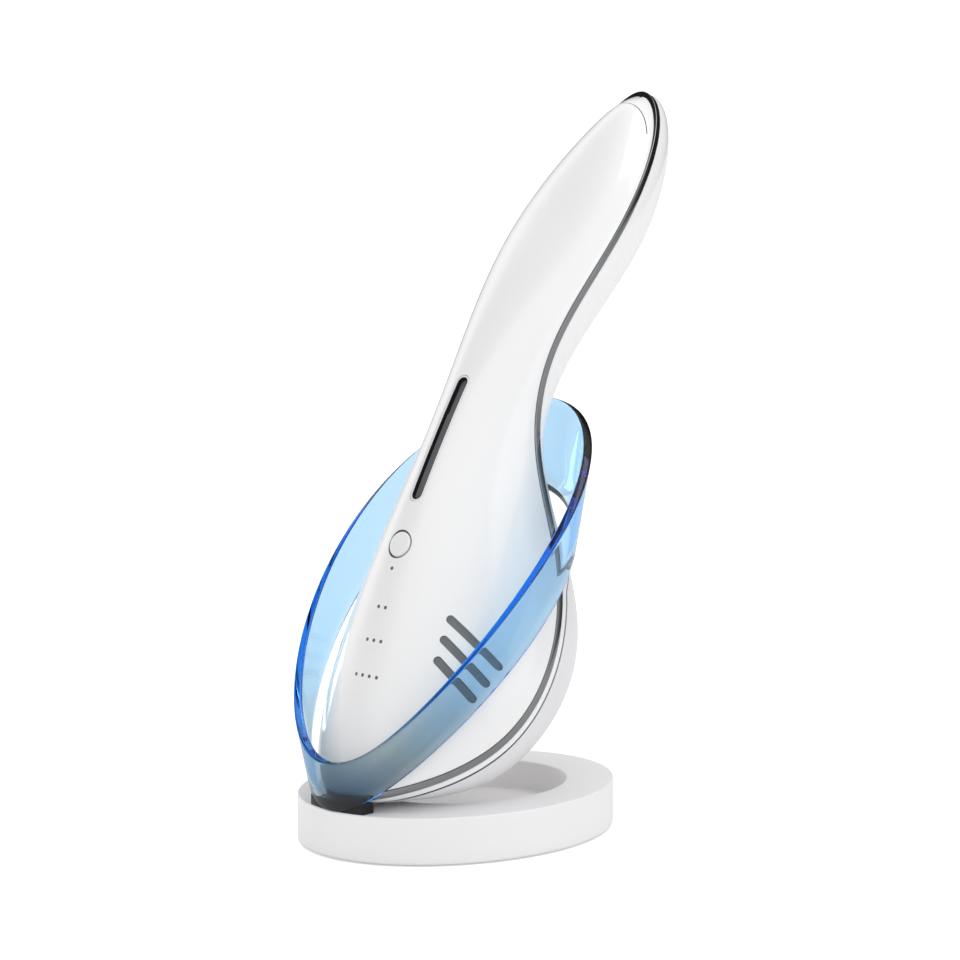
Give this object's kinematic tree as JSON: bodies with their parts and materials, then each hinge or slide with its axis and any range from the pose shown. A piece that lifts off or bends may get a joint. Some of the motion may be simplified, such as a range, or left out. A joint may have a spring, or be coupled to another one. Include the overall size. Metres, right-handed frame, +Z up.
{
  "type": "facial toning device",
  "caption": "Handheld facial toning device with curved grip, round treatment head, push button and light window, resting in a clear tilted ring on an oval base.",
  "frame": {"origin": "middle of the oval base's underside, where the foot pad rests", "axes": "+Z up, -Y towards the side with the button, where the ring's foot stands, +X to the right"},
  "size_m": [0.069, 0.1168, 0.1794],
  "materials": {
    "base_plastic": "satin",
    "cover_plastic": "satin",
    "pad": "matt",
    "steel": "satin",
    "ballast": "matt",
    "blue_clear": "polished",
    "shell_white": "polished",
    "head_grey": "satin",
    "trim_chrome": "polished",
    "electrode": "polished",
    "lens": "frosted",
    "board": "satin",
    "led": "polished",
    "frame_plastic": "matt",
    "switch": "satin",
    "window_black": "polished",
    "bezel": "satin",
    "light_guide": "polished",
    "vent_grey": "satin",
    "cell": "satin",
    "motor_steel": "satin",
    "rubber": "matt",
    "brass": "satin"
  },
  "bodies": {
    "stand": {"stand_base": "base_plastic", "base_cover": "cover_plastic", "cover_screws": "steel", "ballast_ring": "ballast", "foot_pad": "pad", "cradle": "blue_clear", "cradle_screws": "steel"},
    "handset": {"front_shell": "shell_white", "rear_shell": "shell_white", "side_trim": "trim_chrome", "treatment_head": "head_grey", "contact_ring": "electrode", "light_lens": "lens", "led_board": "board", "treatment_leds": "led", "inner_frame": "frame_plastic", "frame_screws": "steel", "main_board": "board", "board_screws": "steel", "switch_body": "switch", "button_ring": "trim_chrome", "indicator_window": "window_black", "window_bezel": "bezel", "light_guide": "light_guide", "indicator_board": "board", "indicator_leds": "led", "vent_inserts": "vent_grey", "battery": "cell", "battery_tray": "frame_plastic", "motor_case": "motor_steel", "motor_mount": "rubber", "charging_socket": "motor_steel"},
    "button": {"power_button": "shell_white"},
    "plunger": {"switch_plunger": "switch"},
    "rotor": {"motor_rotor": "brass"}
  },
  "joints": [
    {"name": "handset_lift", "type": "slide", "parent": "stand", "child": "handset", "axis": [0, -0.1822, 0.9833], "range_m": [0, 0.1]},
    {"name": "button_press", "type": "slide", "parent": "handset", "child": "button", "axis": [0, 0.9093, -0.4161], "range_m": [0, 0.0006], "stiffness_N_per_m": 1500, "springref_m": -0.0004},
    {"name": "plunger_press", "type": "slide", "parent": "handset", "child": "plunger", "axis": [0, 0.9093, -0.4161], "range_m": [0, 0.0006]},
    {"name": "rotor_spin", "type": "hinge", "parent": "handset", "child": "rotor", "pos_m": [0, -0.00158, 0.04679], "axis": [1, 0, 0], "continuous": true}
  ],
  "couplings": [
    {"joint": "plunger_press", "follows": "button_press", "ratio": 1}
  ]
}
